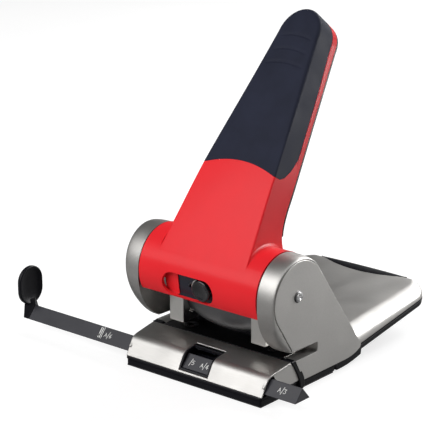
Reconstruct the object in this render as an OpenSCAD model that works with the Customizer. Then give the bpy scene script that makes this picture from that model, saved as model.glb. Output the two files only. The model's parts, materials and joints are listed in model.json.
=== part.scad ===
// Two-hole desk punch with a long lever, a sliding paper guide and a hinged chip pan.
// Origin: on the resting plane, midway between the two punches. +X right, +Y to the rear, +Z up.

/* [Punching] */
// Distance between the two holes
hole_spacing = 80; // [78:0.5:82]
// Diameter of a punched hole
hole_d = 5.5; // [5:0.1:6]
// Height of the paper plane above the desk
paper_z = 26.1; // [25.6:0.1:26.4]
// Height of the underside of the upper jaw
jaw_z = 34; // [33.5:0.1:34.5]
// Distance from the hole centres to the paper stop
stop_depth = 12; // [11:0.5:13]

/* [Base] */
// Half the width of the base
base_half = 66.5; // [66:0.5:67]
// Distance from the hole line to the front edge
front_reach = 46.8; // [46.5:0.1:47.2]
// Distance from the hole line to the rear edge
tail_reach = 173; // [170:1:176]
// Wall thickness of the sheet covers
sheet = 1.5; // [1.2:0.1:1.6]

/* [Cheeks] */
// Height of the lever axle
axle_z = 77.5; // [77:0.5:78]
// Diameter of the lever axle
axle_d = 8; // [7:0.5:9]
// Radius of the round head of a cheek
cheek_r = 30; // [29:0.1:30.2]
// Inner face of a cheek, from the middle
cheek_in = 57.5; // [57.3:0.1:57.8]
// Outer face of a cheek at axle height, from the middle
cheek_out = 72.5; // [72:0.5:73]

/* [Lever] */
// Backward lean of the handle at rest, from vertical
lean = 37.3; // [37:0.1:37.6]
// Travel of the handle from rest to fully pressed
press_angle = 60; // [50:1:60]
// Outer radius of the barrel around the axle
barrel_r = 30.5; // [30.3:0.1:30.7]
// Length of the handle from the axle to its tip
handle_len = 211; // [205:1:215]
// Distance from the axle to the start of the grip
grip_start = 76; // [74:1:78]

/* [Paper guide] */
// Left end of the guide bar
guide_left = -182; // [-184:1:-170]
// Right end of the guide bar
guide_right = 95; // [92:1:98]

/* [Hidden] */
$fn = 64;

punch_x = hole_spacing / 2;
punch_r = hole_d / 2;
die_gap = 0.1;
run_gap = 0.05;
axle_r = axle_d / 2;
cam_base_r = 10.5;
axle_y = -cam_base_r;
far = 400;

// Lever geometry, in a frame at the axle: x across, then along the handle, then towards its front
barrel_wall = 2.5;
barrel_in = barrel_r - barrel_wall;
barrel_half = cheek_in - 1;
barrel_from = 25 - (90 - lean);
barrel_to = 208 - (90 - lean);
window_angle = 188;
window_r = 9.4;
window_x = [-33.5, 16];
grip_thick = 1.9;
grip_top = 32.4;
seam_h = 10.3;
arm_top = barrel_r - 0.4;
tip_long = 22;
tip_half = 19;
tip_from = handle_len - tip_long;
arm_plate_x = [28.5, 31.5];
plate_rivets = [34, 52];
cam_x = [22.5, 28.5];

// Lift of the cams: the beam travels cam_base_r for each radian of the handle
rest_lift = 12;
beam_top = axle_z - rest_lift - 0.1;
beam_low = beam_top - 7.4;
beam_half_y = 6.1;
flange_top = 44;
punch_tip = jaw_z + 0.5;

// Outline of the base
pan_top = 7.2;
foot_z = 7.6;
tail_from = 48.4;
sweep_from = 50;
cover_front = [-46, 7.7];
cover_edge = [-38, 21.6];
cover_back = -12.8;
band_top = [-12.6, -9.1];
band_low = [-1.5, 2.1];
step_y = 78;
off_desk = 0.4;
slot_end = 17.2;
corner_r = 18;
pan_axis = [45, 5];

// Height of the underside of the base at y: it curves up, steps up behind the cheeks and slopes on
function under(y) = y < sweep_from ? off_desk : y < step_y ? off_desk + 0.0048 * pow(y - sweep_from, 2)
  : 8 + 0.161 * (y - step_y);
// Height of the lower edge of a cheek at y
function foot(y) = y < sweep_from ? foot_z : foot_z + 0.00038 * pow(y - sweep_from, 3);
// Height of the top of the tail at y
function over(y) = 24.4 + 0.1 * (y - 48);
// Half width of the handle at distance d from the axle
function arm_half(d) = d < 74.5 ? 42.2 - 0.105 * d : 34.4 - 0.134 * (d - 74.5);
function polar(r, a) = [r * cos(a), r * sin(a)];

// Extrudes a side view, drawn as (y, z), from x0 to x1
module across(x0, x1) {
  translate([x0, 0, 0]) rotate([90, 0, 90]) linear_extrude(x1 - x0) children();
}
// Puts lever geometry at the axle, leaning back as it does at rest
module in_lever() {
  translate([0, axle_y, axle_z]) rotate([90 - lean, 0, 0]) children();
}
module at_axle() {
  translate([0, axle_y, axle_z]) children();
}
// Round bar along X
module x_rod(r, x0, x1) {
  translate([x0, 0, 0]) rotate([0, 90, 0]) cylinder(r = r, h = x1 - x0);
}
// Aims +Z at a side-view angle measured from +Y towards +Z
module aim(angle) {
  rotate([angle - 90, 0, 0]) children();
}
module left() {
  mirror([1, 0, 0]) children();
}
module both_sides() {
  children();
  mirror([1, 0, 0]) children();
}
// Pie slice, as a side view
module wedge(from, to, r) {
  steps = 12;
  polygon(concat([[0, 0]], [for (i = [0:steps]) polar(r, from + (to - from) * i / steps)]));
}

// ---- base ----
chassis_low = 9.5;
chassis_y = [-9, 66];
cheek_screw_y = [26, 54];
cheek_screw_z = 16;
tail_screw = [44, 59, 0];
tail_floor = 2.9;
module chassis() {
  color("silver") difference() {
    union() {
      translate([-57.2, chassis_y[0], chassis_low]) cube([114.4, chassis_y[1] - chassis_y[0], 2.5]);
      for (y = [chassis_y[0], 13])
        translate([-57.2, y, chassis_low]) cube([114.4, 2.5, paper_z - 3.5 - chassis_low]);
      both_sides() translate([55, chassis_y[0], chassis_low])
        cube([2.2, chassis_y[1] - chassis_y[0], 11]);
    }
    both_sides() {
      translate([punch_x, 0, 0]) cylinder(r = 7.5, h = 20);
      for (y = cheek_screw_y) translate([0, y, cheek_screw_z]) x_rod(2.1, 50, 60);
      translate(tail_screw) cylinder(r = 1.6, h = 30);
    }
    translate([-30, 26, 0]) cube([60, 30, 30]);
  }
}

// Side view of a cheek: round head, swept front, slot for the paper, straight rear edge
front_arc_r = 43.3;
front_arc = [2.5, 73];
heel = [73.7, 15];
heel_low = 73;
module cheek_side() {
  reach = [heel[0] - axle_y, heel[1] - axle_z];
  tangent = atan2(reach[1], reach[0]) + acos(cheek_r / norm(reach));
  touch = [axle_y, axle_z] + polar(cheek_r - 0.2, tangent);
  translate([axle_y, axle_z]) circle(r = cheek_r);
  polygon(concat(
    [[axle_y, axle_z + 5], touch, heel], [for (y = [heel_low:-4:sweep_from]) [y, foot(y)]],
    [[band_low[1], foot_z]],
    [[band_top[1], paper_z], [slot_end, paper_z], [slot_end, jaw_z]],
    [[front_arc[0] + polar(front_arc_r, 243)[0], jaw_z]],
    [for (a = [240:-6:183]) front_arc + polar(front_arc_r, a)]));
}
relief_r = 9.5;
cheek_tilt = 3.9;
module cheek() {
  difference() {
    across(cheek_in, cheek_out) cheek_side();
    // The outer face leans in below the axle
    translate([cheek_out, 0, axle_z]) rotate([0, cheek_tilt, 0]) translate([0, -100, -100])
      cube([60, 200, 100]);
    at_axle() {
      x_rod(relief_r, cheek_in - 1, cheek_in + 4);
      x_rod(axle_r + 0.02, 0, cheek_out + 1);
    }
    for (y = cheek_screw_y) translate([0, y, cheek_screw_z]) x_rod(2, 50, 62);
  }
}
module left_cheek() { color("silver") left() cheek(); }
module right_cheek() { color("silver") cheek(); }

// Side view of the front table cover, drawn g inside its outer surface
module cover_side(g, low) {
  bend = 5;
  polygon(concat(
    [[cover_front[0] + 1.15 * g, low], [cover_edge[0] - 1.4 + g, cover_edge[1] - 2.6]],
    [for (a = [150:-15:95]) [cover_edge[0] + 3.4, cover_edge[1] - 4.6] + polar(bend - g, a)],
    [[cover_back, paper_z - 0.2 - g], [cover_back, low]]));
}
module guide_section(grow) {
  polygon([[-43 - grow, 9.9 - grow], [-34.2, 19.8 + 1.4 * grow], [-25.6 + grow, 9.9 - grow]]);
}
window_half = 14.2;
module front_table_cover() {
  color("silver") difference() {
    across(-base_half, base_half) cover_side(0, cover_front[1]);
    across(-base_half + sheet, base_half - sheet) cover_side(sheet, 0);
    translate([-window_half, -60, 10.5]) cube([2 * window_half, 37, 20]);
    across(-far, far) guide_section(0.6);
    translate([-far, -60, 7]) cube([2 * far, 34, 3.4 - 0.5]);
    both_sides() across(60, 70) polygon([[band_top[0], 30], [band_low[0], 6], [5, 6], [5, 30]]);
  }
}
module window_bezel() {
  edge = 1.4;
  color("black") difference() {
    across(-window_half + 0.1, window_half - 0.1) difference() {
      cover_side(0.2, 10.6);
      cover_side(2.6, 0);
      translate([-23.2, 0]) square([60, 60]);
    }
    translate([-window_half + edge, -60, 12]) cube([2 * (window_half - edge), 60 - 24.8, 20]);
    across(-far, far) guide_section(0.4);
  }
}
channel_x = 64;
module guide_channel() {
  color("dimgray") difference() {
    union() {
      translate([-channel_x, -42, 7.9]) cube([2 * channel_x, 20, 1.6]);
      translate([-channel_x, -23.6, 7.9]) cube([2 * channel_x, 1.6, 8]);
    }
    translate([30, -36, 7]) cube([14, 6, 5]);
  }
}
module detent_spring() {
  color("gold") translate([31, -35.5, 8]) difference() {
    cube([12, 5, 1.6]);
    translate([0.5, -1, -1]) cube([11, 7, 2]);
  }
}
module band() {
  across(58.6, base_half + 0.8)
    polygon([[band_top[0], paper_z], [band_top[1], paper_z], [band_low[1], foot_z],
      [band_low[0] - 0.8, foot_z]]);
}
module left_band() { color("black") left() band(); }
module right_band() { color("black") band(); }

// ---- punching ----
module die_plate() {
  color("lightgray") difference() {
    translate([-57.2, cover_back + 0.2, paper_z - 3.5]) cube([114.4, 16 - cover_back, 3.5]);
    both_sides() translate([punch_x, 0, 0]) cylinder(r = 6, h = 50);
  }
}
module die() {
  translate([punch_x, 0, paper_z - 6]) difference() {
    cylinder(r = 6, h = 6);
    translate([0, 0, -1]) cylinder(r = punch_r + die_gap, h = 8);
    translate([0, 0, -1]) cylinder(r = punch_r + 1, h = 4);
  }
}
module left_die() { color("gray") left() die(); }
module right_die() { color("gray") die(); }
module back_stop() {
  color("silver") translate([-57.2, stop_depth, paper_z]) cube([114.4, 2.5, jaw_z + 6 - paper_z]);
}
bridge_y = [14.5, 24];
module upper_bridge() {
  color("silver") {
    across(-57.2, 57.2)
      polygon([[bridge_y[0], jaw_z], [bridge_y[1], jaw_z], [bridge_y[1], 44], [12, 51], [8.2, 51],
        [8.2, 40.2], [bridge_y[0], 40.2]]);
  }
}
module jaw_shield() {
  r = 15;
  color("gray") across(-32.6, 32.6) difference() {
    union() {
      intersection() {
        translate([-7, 49.2]) circle(r = r);
        translate([-7, 0]) square([60, 49.2]);
      }
      translate([-15, 49.2 - r]) square([8, 20]);
    }
    translate([-7, 49.2]) circle(r = r - 1.2);
    translate([-20, 49.2 - r + 1.2]) square([13, 30]);
    translate([7.9, 0]) square(60);
  }
}
guide_half = 6.9;
guide_front = -17.2;
module punch_guide() {
  color("lightgray") difference() {
    translate([punch_x, 0, 0]) union() {
      translate([-guide_half, guide_front, jaw_z]) cube([2 * guide_half, 8, 26]);
      translate([-guide_half, guide_front, jaw_z]) cube([2 * guide_half, 8.1 - guide_front, 6.2]);
      translate([0, 0, jaw_z]) cylinder(r = guide_half - 0.4, h = flange_top - jaw_z);
    }
    translate([punch_x, 0, 0]) cylinder(r = punch_r + run_gap, h = 100);
  }
}
module left_punch_guide() { left() punch_guide(); }
module right_punch_guide() { punch_guide(); }
module guide_screws() {
  color("gray") both_sides() for (x = [-4, 4])
    translate([punch_x + x, 8.15, 47.6]) rotate([90, 0, 0]) cylinder(r = 1.9, h = 1.4);
}
module axle() {
  color("gainsboro") at_axle() x_rod(axle_r, -cheek_out - 0.4, cheek_out + 0.4);
}
module axle_clips() {
  color("gray") both_sides() at_axle() difference() {
    x_rod(axle_r + 2.6, cheek_in + 2.6, cheek_in + 3.8);
    x_rod(axle_r, 0, 80);
  }
}

// ---- rear ----
fairing_in = 32.5;
module rear_fairing() {
  top = [axle_y, axle_z] + polar(fairing_in + sheet, -22);
  color("silver") across(-57.2, 57.2) union() {
    translate([axle_y, axle_z]) difference() {
      wedge(-50, -22, fairing_in + sheet + 0.1);
      circle(r = fairing_in, $fn = 120);
    }
    polygon([top, top - [1.5, 0.6], [46.6, over(48) - 1.5], [48.4, over(48) - 0.1], [48.2, over(48) + 0.9]]);
  }
}
module tail_plan(g) {
  half = base_half - 0.5 - g;
  r = corner_r - g;
  end = tail_reach - g;
  polygon(concat([[-half, 30], [half, 30]],
    [for (a = [0:7.5:90]) [half - r, end - r] + polar(r, a)],
    [for (a = [90:7.5:180]) [r - half, end - r] + polar(r, a)]));
}
// Silver shell over the tail; its lower edge follows the sweep
function hood_low(y) = under(max(y, step_y)) + 5.1;
module hood_side(g) {
  ys = [for (y = [tail_from + 0.1:10:tail_reach]) y];
  polygon(concat([[tail_from + 0.1, over(tail_from) - g]], [[tail_reach - 12, over(tail_reach - 12) - g]],
    [[tail_reach - 4, over(tail_reach) - 2.2 - g], [tail_reach + 1, over(tail_reach) - 5 - g]],
    [[tail_reach + 1, hood_low(tail_reach) - 4 * g]],
    [for (i = [len(ys) - 1:-1:0]) [ys[i], hood_low(ys[i]) - 4 * g]]));
}
module tail_hood() {
  color("silver") difference() {
    intersection() {
      across(-base_half, base_half) hood_side(0);
      linear_extrude(60) tail_plan(0);
    }
    intersection() {
      across(-base_half, base_half) hood_side(sheet);
      linear_extrude(60) tail_plan(sheet);
    }
    both_sides() across(57.3, 80)
      polygon([[40, 0], [heel[0] + 0.2, 0], [heel[0] + 0.2, heel[1]], [44.7, 54.2], [40, 54.2]]);
    linear_extrude(60) lip_plan(0.05);
  }
}
module tail_base() {
  color("black") {
    difference() {
      intersection() {
        across(-base_half, base_half) polygon(concat(
          [for (y = [tail_from:5:step_y]) [y, under(y)]], [[step_y - 0.3, under(step_y - 0.3)]],
          [for (y = [step_y, tail_reach]) [y, under(y)]], [[tail_reach, hood_low(tail_reach) - 0.1]],
          [for (y = [step_y, heel[0] + 0.3]) [y, hood_low(y) - 0.1]],
          [for (y = [heel_low:-5:tail_from]) [y, foot(y) - 0.1]]));
        linear_extrude(60) tail_plan(0.2);
      }
      translate([-57.4, tail_from - 1, tail_floor]) cube([114.8, 32, 30]);
      both_sides() translate(tail_screw) cylinder(r = 1.6, h = 30);
    }
    both_sides() difference() {
      translate([56.5, 42.8, 3.3]) cube([4, tail_from - 42.8 + 3, 4]);
      translate([0, pan_axis[0], pan_axis[1]]) x_rod(1.5, 50, 70);
    }
  }
}
// Plan of the lens-shaped lip at the rear edge: straight behind, curved in front
lip_half = 43;
lip_depth = 9.5;
module lip_plan(g) {
  arc = [for (x = [-lip_half:lip_half / 6:lip_half])
    [x * (1 + g / lip_half), tail_reach - 1.2 - g - lip_depth * (1 - pow(x / lip_half, 2))]];
  polygon(concat(arc, [[lip_half + g, tail_reach + 1], [-lip_half - g, tail_reach + 1]]));
}
module rear_lip() {
  color("black") intersection() {
    across(-50, 50) polygon([[150, over(150) - 3], [150, over(150)], [tail_reach - 4, over(tail_reach - 4)],
      [tail_reach, over(tail_reach) - 2], [tail_reach, hood_low(tail_reach) + 0.4],
      [tail_reach - 2.5, hood_low(tail_reach) + 0.4], [tail_reach - 2.5, over(tail_reach) - 4]]);
    linear_extrude(60) lip_plan(0);
  }
}
module rear_foot() {
  color("black") across(-40, 40)
    polygon([[112, 0], [138, 0], [140, under(140) - 0.1], [110, under(110) - 0.1]]);
}
module tail_screws() {
  color("gray") both_sides() translate(tail_screw + [0, 0, tail_floor]) {
    cylinder(r = 1.6, h = 8);
    cylinder(r = 3.2, h = 1.8);
  }
}
module cheek_screws() {
  color("gray") both_sides() for (y = cheek_screw_y) translate([0, y, cheek_screw_z]) {
    x_rod(2, 54.9, 61);
    x_rod(3.6, 53, 54.9);
  }
}

// ---- chip pan ----
module pan_hinge_pins() {
  color("silver") both_sides() translate([0, pan_axis[0], pan_axis[1]]) x_rod(1.5, 51.5, 60.5);
}
pan_back = 44;
module chip_pan() {
  wall = 1.8;
  color("black") difference() {
    union() {
      difference() {
        across(-base_half + 0.2, base_half - 0.2)
          polygon([[-front_reach, 1], [pan_back, 1], [pan_back, pan_top], [-front_reach, pan_top]]);
        translate([-base_half + wall + 0.2, wall - front_reach, 2.8])
          cube([2 * (base_half - wall - 0.2), pan_back + front_reach - 2 * wall, 20]);
        both_sides() translate([50, 30, 2.8]) cube([14.5, 30, 20]);
      }
      both_sides() {
        translate([52, 39, 2.1]) cube([4, pan_axis[0] - 39, 5.8]);
        translate([0, pan_axis[0], pan_axis[1]]) x_rod(2.9, 52, 56);
      }
    }
    translate([0, pan_axis[0], pan_axis[1]]) x_rod(1.5 + run_gap, -70, 70);
  }
}
module anti_slip_mat() {
  color("dimgray") translate([-base_half + 1, 1 - front_reach, 0])
    cube([2 * base_half - 2, pan_back + front_reach - 3, 1]);
}

// ---- paper guide ----
module guide_bar() {
  color("dimgray") across(guide_left, guide_right) guide_section(0);
}
paddle_x = guide_left + 3;
paddle_y = -35.5;
paddle_z = [20.2, 52.3];
paddle_r = 12.6;
module paddle_side(r) {
  mid = [paddle_z[0] + paddle_r, paddle_z[1] - paddle_r];
  for (z = mid) translate([0, z]) circle(r = r);
  translate([-r, mid[0]]) square([2 * r, mid[1] - mid[0]]);
}
module paper_stop() {
  color("black") translate([0, paddle_y, 0]) {
    difference() {
      across(paddle_x - 4, paddle_x) paddle_side(paddle_r);
      across(paddle_x - 1.4, paddle_x + 1) paddle_side(paddle_r - 2);
    }
    across(guide_left, paddle_x) polygon([[-4, 19.7], [8.6, 19.7], [8, 24], [-5, 24]]);
  }
}

// ---- lever ----
module barrel_sector(r) {
  intersection() {
    wedge(barrel_from, barrel_to, 2 * r);
    circle(r = r);
  }
}
// Front view of the handle, g inside its outline
module arm_front(g) {
  polygon(concat(
    [for (d = [4, 74.5, 150, tip_from]) [arm_half(d) - g, d]],
    [for (a = [15:15:165]) [(tip_half - g) * cos(a), tip_from + (tip_long - g) * sin(a)]],
    [for (d = [tip_from, 150, 74.5, 4]) [g - arm_half(d), d]]));
}
// Side view of the handle between its rear edge, moved forward by g, and the height top
module arm_side(g, top) {
  polygon([[4, -14 + g], [27.2, -13.8 + g], [34, -3.8 + g], [40, 0.4 + g], [49, 3 + g], [60, 4.3 + g],
    [196, 4.1 + g], [205, 5.5 + g], [handle_len, min(top, 11 + g)], [handle_len, top], [4, top]]);
}
module arm_solid(g, rear, top, low) {
  intersection() {
    across(-50, 50) arm_side(rear, top);
    translate([0, 0, low]) linear_extrude(top - low + 1) arm_front(g);
  }
}
module lever_window() {
  at_axle() aim(window_angle) {
    for (x = [window_x[0] + window_r, window_x[1] - window_r]) translate([x, 0, 15])
      cylinder(r = window_r, h = 25);
    translate([window_x[0] + window_r, -window_r, 15])
      cube([window_x[1] - window_x[0] - 2 * window_r, 2 * window_r, 25]);
  }
}
module handle_shell() {
  color("red") difference() {
    union() {
      difference() {
        in_lever() union() {
          across(-barrel_half, barrel_half) barrel_sector(barrel_r);
          difference() {
            union() {
              arm_solid(0, 0, seam_h - 0.1, -30);
              arm_solid(grip_thick + 0.05, 0, arm_top, -30);
              difference() {
                arm_solid(0, 0, arm_top, -30);
                translate([-60, grip_start, -60]) cube([120, 200, 120]);
              }
            }
            arm_solid(grip_thick + 2.4, -5, arm_top - barrel_wall - 0.3, -40);
          }
        }
        at_axle() x_rod(barrel_in, 2.5 - barrel_half, barrel_half - 2.5);
      }
      in_lever() both_sides() across(barrel_half - 2.8, barrel_half) {
        intersection() {
          wedge(barrel_from + 6, barrel_to - 6, 60);
          circle(r = barrel_r - 1);
        }
        circle(r = 12);
      }
    }
    lever_window();
    at_axle() x_rod(6, -80, 80);
    in_lever() both_sides() across(arm_plate_x[0] - run_gap, arm_plate_x[1] + run_gap)
      polygon([[20, 1.9], [36, 5.9], [36, 24.1], [20, 24.1]]);
  }
}
module grip_pad() {
  color("darkslategray") in_lever() difference() {
    intersection() {
      arm_solid(0, 0, grip_top, -30);
      translate([-60, grip_start + 0.1, seam_h]) cube([120, 200, 40]);
    }
    arm_solid(grip_thick, -5, arm_top + 0.05, -30);
  }
}
module handle_liner() {
  color("black") in_lever() difference() {
    intersection() {
      arm_solid(grip_thick + 2.45, -1, arm_top, -30);
      translate([-60, 40, -30]) cube([120, 168, 60]);
    }
    arm_solid(0, 0.9, arm_top + 1, -30);
  }
}
// Cam whose flank is the involute of a circle: its lift is proportional to the handle's angle
cam_steps = 16;
function unrolled(t) = let (l = rest_lift + cam_base_r * t * PI / 180, a = atan2(-l, cam_base_r) + t)
  polar(norm([cam_base_r, l]), a);
cam_start = -rest_lift / cam_base_r * 180 / PI;
module cam() {
  at_axle() difference() {
    across(cam_x[0], cam_x[1]) union() {
      circle(r = cam_base_r - 1.5);
      polygon(concat([[0, 0]],
        [for (i = [0:cam_steps]) unrolled(cam_start + (press_angle + 1 - cam_start) * i / cam_steps)],
        [polar(22, 12), polar(cam_base_r, 70)]));
    }
    x_rod(axle_r + run_gap, 0, 80);
  }
}
module left_cam() { color("darkgray") left() cam(); }
module right_cam() { color("darkgray") cam(); }
module arm_plate() {
  in_lever() difference() {
    across(arm_plate_x[0], arm_plate_x[1]) union() {
      circle(r = 12);
      polygon([[0, -4], [20, 2], [36, 6], [58, 9], [58, 24], [24, 21.5], [0, 11]]);
    }
    x_rod(axle_r + run_gap, 0, 80);
    for (d = plate_rivets) translate([0, d, 15]) x_rod(2, 20, 40);
  }
}
module left_arm_plate() { color("darkgray") left() arm_plate(); }
module right_arm_plate() { color("darkgray") arm_plate(); }
module handle_screws() {
  color("gray") in_lever() both_sides() for (d = plate_rivets) translate([0, d, 15]) {
    x_rod(2, 28.4, 31.5);
    x_rod(3.6, 26.6, 28.4);
  }
}
module spacer_sleeve() {
  color("darkgray") at_axle() difference() {
    x_rod(7, -cam_x[0] + 0.05, cam_x[0] - 0.05);
    x_rod(axle_r + run_gap, -60, 60);
  }
}
module bush() {
  at_axle() difference() {
    union() {
      x_rod(6, barrel_half - 3, barrel_half + 0.6);
      x_rod(8, barrel_half, barrel_half + 0.6);
    }
    x_rod(axle_r + run_gap, 0, 80);
  }
}
module left_bush() { color("gold") left() bush(); }
module right_bush() { color("gold") bush(); }

// ---- handle lock ----
lock_r = 8.4;
lock_x = 3;
plate_at = 24.2;
module lock_plate() {
  color("navy") at_axle() aim(window_angle) translate([0, 0, plate_at - 1.6]) difference() {
    translate([window_x[0] + 1, -12, 0]) cube([window_x[1] - window_x[0] - 2, 24, 1.6]);
    translate([-28, 0, -1]) cylinder(r = 3, h = 4);
    translate([lock_x - 15, -2, -1]) cube([16, 4, 4]);
  }
}
module lock_knob() {
  color("black") at_axle() aim(window_angle) translate([lock_x, 0, plate_at + 0.3]) difference() {
    cylinder(r = lock_r, h = 5.4);
    translate([0, 0, 5.4 + 11]) sphere(r = 13, $fn = 96);
  }
}

// ---- press ----
module press_beam() {
  color("gray") difference() {
    translate([-punch_x - 6.5, -beam_half_y, beam_low])
      cube([2 * punch_x + 13, 2 * beam_half_y, beam_top - beam_low]);
    both_sides() translate([punch_x, 0, 0]) {
      cylinder(r = punch_r, h = 100);
      translate([0, 0, beam_top - 3.5]) cylinder(r = 4.5, h = 10);
    }
  }
}
module punch() {
  translate([punch_x, 0, 0]) {
    translate([0, 0, punch_tip]) cylinder(r = punch_r, h = beam_top - 3.5 - punch_tip);
    translate([0, 0, beam_top - 3.5]) cylinder(r = 4.5, h = 3);
  }
}
module left_punch() { color("gainsboro") left() punch(); }
module right_punch() { color("gainsboro") punch(); }
// Compression spring: a ring of points swept along a helix between the guide and the beam
wire_r = 0.4;
coil_r = 4.4;
coil_turns = 3.4;
coil_low = flange_top + wire_r + 0.05;
coil_high = beam_low - wire_r - 0.05;
module return_spring() {
  sides = 8;
  rings = 68;
  points = [for (i = [0:rings]) let (t = i / rings, a = 360 * coil_turns * t,
    z = coil_low + (coil_high - coil_low) * t)
    for (j = [0:sides - 1]) let (s = 360 * j / sides, r = coil_r + wire_r * cos(s))
      [r * cos(a), r * sin(a), z + wire_r * sin(s)]];
  faces = concat([[for (j = [0:sides - 1]) j]],
    [for (i = [0:rings - 1]) for (j = [0:sides - 1]) let (k = (j + 1) % sides)
      [i * sides + j, (i + 1) * sides + j, (i + 1) * sides + k, i * sides + k]],
    [[for (j = [sides - 1:-1:0]) rings * sides + j]]);
  translate([punch_x, 0, 0]) polyhedron(points, faces);
}
module left_spring() { color("silver") left() return_spring(); }
module right_spring() { color("silver") return_spring(); }

chassis();
left_cheek();
right_cheek();
front_table_cover();
window_bezel();
guide_channel();
detent_spring();
left_band();
right_band();
die_plate();
left_die();
right_die();
back_stop();
upper_bridge();
jaw_shield();
left_punch_guide();
right_punch_guide();
axle();
axle_clips();
rear_fairing();
tail_hood();
tail_base();
rear_lip();
rear_foot();
pan_hinge_pins();
cheek_screws();
guide_screws();
tail_screws();
handle_shell();
grip_pad();
handle_liner();
left_cam();
right_cam();
left_arm_plate();
right_arm_plate();
spacer_sleeve();
left_bush();
right_bush();
lock_plate();
handle_screws();
lock_knob();
press_beam();
left_punch();
right_punch();
left_spring();
right_spring();
guide_bar();
paper_stop();
chip_pan();
anti_slip_mat();
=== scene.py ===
"""Looks of a two-hole desk punch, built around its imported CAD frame. Meshes are drawn in mm."""

import json
import math
from math import cos, sin, radians, pi

import bmesh
import bpy
from mathutils import Matrix, Vector


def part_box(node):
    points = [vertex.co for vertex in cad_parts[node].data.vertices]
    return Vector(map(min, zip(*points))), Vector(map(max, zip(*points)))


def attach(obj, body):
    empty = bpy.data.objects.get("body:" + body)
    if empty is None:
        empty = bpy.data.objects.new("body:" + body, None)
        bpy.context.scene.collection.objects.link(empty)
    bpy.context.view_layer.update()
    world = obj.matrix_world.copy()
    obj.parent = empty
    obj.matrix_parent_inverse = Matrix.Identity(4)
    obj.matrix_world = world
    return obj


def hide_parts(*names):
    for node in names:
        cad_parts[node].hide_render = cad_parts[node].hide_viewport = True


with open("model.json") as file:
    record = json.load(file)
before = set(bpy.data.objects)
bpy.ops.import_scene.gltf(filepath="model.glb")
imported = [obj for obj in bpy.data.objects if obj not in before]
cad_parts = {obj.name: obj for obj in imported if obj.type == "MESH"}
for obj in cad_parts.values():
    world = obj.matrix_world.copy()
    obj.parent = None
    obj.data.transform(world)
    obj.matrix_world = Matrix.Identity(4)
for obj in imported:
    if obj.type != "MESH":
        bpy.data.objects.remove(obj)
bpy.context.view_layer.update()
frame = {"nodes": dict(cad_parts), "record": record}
record = frame["record"]
MM = 0.001


# ---------------------------------------------------------------- places that come from the frame
def mm_box(node):
    low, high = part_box(node)
    return [c / MM for c in low], [c / MM for c in high]


joints = {j["name"]: j for j in record["behaviour"]["joints"]}
AXLE_Y, AXLE_Z = (c / MM for c in joints["lever_hinge"]["pos_m"][1:])
BARREL_HALF = mm_box("handle_shell")[1][0]
BARREL_R = AXLE_Y - mm_box("handle_shell")[0][1]
CHEEK_IN = mm_box("right_cheek")[0][0]
CHEEK_OUT = mm_box("right_cheek")[1][0]
FRONT_Y = mm_box("chip_pan")[0][1]
BASE_HALF = mm_box("front_table_cover")[1][0]
TAIL_Y = mm_box("tail_hood")[1][1]
PAPER_Z = mm_box("die_plate")[1][2]
PUNCH_X = (mm_box("right_die")[0][0] + mm_box("right_die")[1][0]) / 2
BAR_LOW, BAR_HIGH = mm_box("guide_bar")
BAR_SECTION = [(BAR_LOW[1], BAR_LOW[2]), (-34.2, BAR_HIGH[2]), (BAR_HIGH[1], BAR_LOW[2])]
STOP_LOW, STOP_HIGH = mm_box("paper_stop")

# ---------------------------------------------------------------- materials
def principled(name, color, roughness=0.5, metallic=0.0, **sockets):
    mat = bpy.data.materials.new(name)
    mat.use_nodes = True
    shader = mat.node_tree.nodes["Principled BSDF"]
    shader.inputs["Base Color"].default_value = (*color, 1)
    shader.inputs["Roughness"].default_value = roughness
    shader.inputs["Metallic"].default_value = metallic
    for key, value in sockets.items():
        shader.inputs[key.replace("_", " ")].default_value = value
    return mat, mat.node_tree.nodes, mat.node_tree.links, shader


def noise(nodes, links, scale, detail=3.0, stretch=(1, 1, 1)):
    """Noise in object space, its cells stretched along the axes."""
    coords = nodes.new("ShaderNodeTexCoord")
    mapping = nodes.new("ShaderNodeMapping")
    mapping.inputs["Scale"].default_value = stretch
    texture = nodes.new("ShaderNodeTexNoise")
    texture.inputs["Scale"].default_value = scale
    texture.inputs["Detail"].default_value = detail
    links.new(coords.outputs["Object"], mapping.inputs["Vector"])
    links.new(mapping.outputs["Vector"], texture.inputs["Vector"])
    return texture


def vary(nodes, links, texture, socket, low, high):
    """Lets a texture move a number between low and high."""
    ranged = nodes.new("ShaderNodeMapRange")
    ranged.inputs["From Min"].default_value = 0.3
    ranged.inputs["From Max"].default_value = 0.7
    ranged.inputs["To Min"].default_value = low
    ranged.inputs["To Max"].default_value = high
    links.new(texture.outputs["Fac"], ranged.inputs["Value"])
    links.new(ranged.outputs["Result"], socket)


def tint(nodes, links, texture, socket, dark, light):
    ramp = nodes.new("ShaderNodeValToRGB")
    ramp.color_ramp.elements[0].position = 0.3
    ramp.color_ramp.elements[0].color = (*dark, 1)
    ramp.color_ramp.elements[1].position = 0.7
    ramp.color_ramp.elements[1].color = (*light, 1)
    links.new(texture.outputs["Fac"], ramp.inputs["Fac"])
    links.new(ramp.outputs["Color"], socket)


def bump(nodes, links, shader, texture, strength, distance):
    node = nodes.new("ShaderNodeBump")
    node.inputs["Strength"].default_value = strength
    node.inputs["Distance"].default_value = distance
    links.new(texture.outputs["Fac"], node.inputs["Height"])
    links.new(node.outputs["Normal"], shader.inputs["Normal"])


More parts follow.
